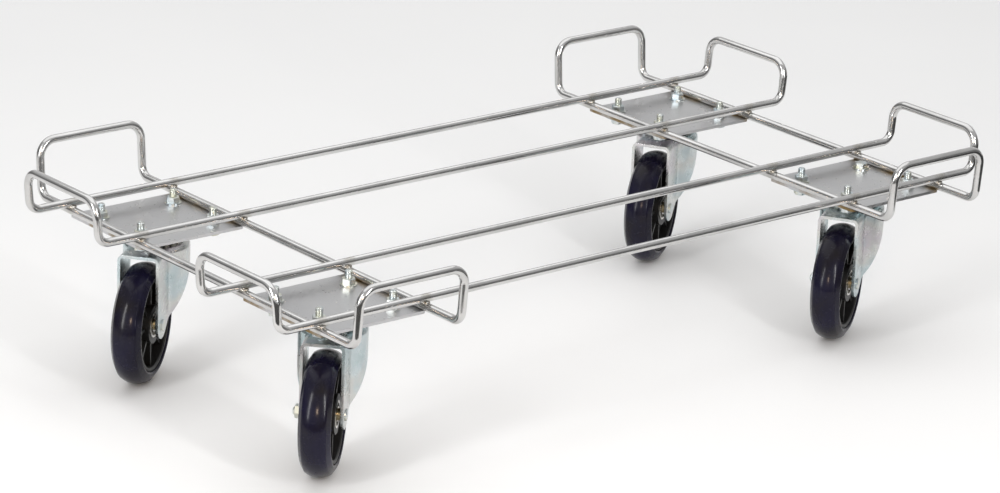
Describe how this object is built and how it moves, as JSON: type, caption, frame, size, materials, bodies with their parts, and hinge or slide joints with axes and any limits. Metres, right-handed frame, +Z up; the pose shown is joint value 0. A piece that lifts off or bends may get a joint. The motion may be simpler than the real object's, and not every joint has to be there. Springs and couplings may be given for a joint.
{
  "type": "wire frame crate dolly",
  "caption": "Open wire-frame dolly for a crate or tray: crossed loops of round rod with upturned ends as stops, welded to plates that carry swivel casters.",
  "frame": {"origin": "on the floor, under the middle of the wire frame", "axes": "+X along the frame's length, +Y across it, +Z up"},
  "size_m": [0.7484, 0.444, 0.1784],
  "materials": {
    "bright_wire": "bright zinc plated drawn rod",
    "plate_steel": "satin zinc plated sheet",
    "zinc_blue": "blue zinc plated pressing",
    "zinc_fastener": "zinc plated fastener",
    "bearing_steel": "ground bearing steel",
    "tyre_rubber": "glossy blue-black elastic tread",
    "core_plastic": "black moulded plastic"
  },
  "bodies": {
    "frame": {"long_loop_front": "bright_wire", "long_loop_back": "bright_wire", "cross_loop_left": "bright_wire", "cross_loop_right": "bright_wire", "support_plate_front_left": "plate_steel", "support_plate_front_right": "plate_steel", "support_plate_back_left": "plate_steel", "support_plate_back_right": "plate_steel", "top_plate_front_left": "zinc_blue", "top_plate_front_right": "zinc_blue", "top_plate_back_left": "zinc_blue", "top_plate_back_right": "zinc_blue", "swivel_balls_front_left": "bearing_steel", "swivel_balls_front_right": "bearing_steel", "swivel_balls_back_left": "bearing_steel", "swivel_balls_back_right": "bearing_steel", "swivel_pin_front_left": "bearing_steel", "swivel_pin_front_right": "bearing_steel", "swivel_pin_back_left": "bearing_steel", "swivel_pin_back_right": "bearing_steel", "pin_washer_front_left": "bearing_steel", "pin_washer_front_right": "bearing_steel", "pin_washer_back_left": "bearing_steel", "pin_washer_back_right": "bearing_steel", "mounting_bolts_front_left": "zinc_fastener", "mounting_bolts_front_right": "zinc_fastener", "mounting_bolts_back_left": "zinc_fastener", "mounting_bolts_back_right": "zinc_fastener", "mounting_nuts_front_left": "zinc_fastener", "mounting_nuts_front_right": "zinc_fastener", "mounting_nuts_back_left": "zinc_fastener", "mounting_nuts_back_right": "zinc_fastener"},
    "swivel_front_left": {"fork_front_left": "zinc_blue", "axle_bolt_front_left": "zinc_fastener", "axle_nut_front_left": "zinc_fastener", "axle_sleeve_front_left": "bearing_steel"},
    "wheel_front_left": {"tyre_front_left": "tyre_rubber", "wheel_core_front_left": "core_plastic", "wheel_bearings_front_left": "bearing_steel"},
    "swivel_front_right": {"fork_front_right": "zinc_blue", "axle_bolt_front_right": "zinc_fastener", "axle_nut_front_right": "zinc_fastener", "axle_sleeve_front_right": "bearing_steel"},
    "wheel_front_right": {"tyre_front_right": "tyre_rubber", "wheel_core_front_right": "core_plastic", "wheel_bearings_front_right": "bearing_steel"},
    "swivel_back_left": {"fork_back_left": "zinc_blue", "axle_bolt_back_left": "zinc_fastener", "axle_nut_back_left": "zinc_fastener", "axle_sleeve_back_left": "bearing_steel"},
    "wheel_back_left": {"tyre_back_left": "tyre_rubber", "wheel_core_back_left": "core_plastic", "wheel_bearings_back_left": "bearing_steel"},
    "swivel_back_right": {"fork_back_right": "zinc_blue", "axle_bolt_back_right": "zinc_fastener", "axle_nut_back_right": "zinc_fastener", "axle_sleeve_back_right": "bearing_steel"},
    "wheel_back_right": {"tyre_back_right": "tyre_rubber", "wheel_core_back_right": "core_plastic", "wheel_bearings_back_right": "bearing_steel"}
  },
  "joints": [
    {"name": "caster_swivel_front_left", "type": "hinge", "parent": "frame", "child": "swivel_front_left", "pos_m": [-0.2778, -0.1205, 0.11], "axis": [0, 0, 1], "continuous": true},
    {"name": "wheel_spin_front_left", "type": "hinge", "parent": "swivel_front_left", "child": "wheel_front_left", "pos_m": [-0.30631, -0.14784, 0.05], "axis": [0.6921, -0.7218, 0], "continuous": true},
    {"name": "caster_swivel_front_right", "type": "hinge", "parent": "frame", "child": "swivel_front_right", "pos_m": [0.2778, -0.1205, 0.11], "axis": [0, 0, 1], "continuous": true},
    {"name": "wheel_spin_front_right", "type": "hinge", "parent": "swivel_front_right", "child": "wheel_front_right", "pos_m": [0.24441, -0.14161, 0.05], "axis": [0.5344, -0.8453, 0], "continuous": true},
    {"name": "caster_swivel_back_left", "type": "hinge", "parent": "frame", "child": "swivel_back_left", "pos_m": [-0.2778, 0.1205, 0.11], "axis": [0, 0, 1], "continuous": true},
    {"name": "wheel_spin_back_left", "type": "hinge", "parent": "swivel_back_left", "child": "wheel_back_left", "pos_m": [-0.30884, 0.09607, 0.05], "axis": [0.6184, -0.7859, 0], "continuous": true},
    {"name": "caster_swivel_back_right", "type": "hinge", "parent": "frame", "child": "swivel_back_right", "pos_m": [0.2778, 0.1205, 0.11], "axis": [0, 0, 1], "continuous": true},
    {"name": "wheel_spin_back_right", "type": "hinge", "parent": "swivel_back_right", "child": "wheel_back_right", "pos_m": [0.2443, 0.09957, 0.05], "axis": [0.5299, -0.848, 0], "continuous": true}
  ]
}
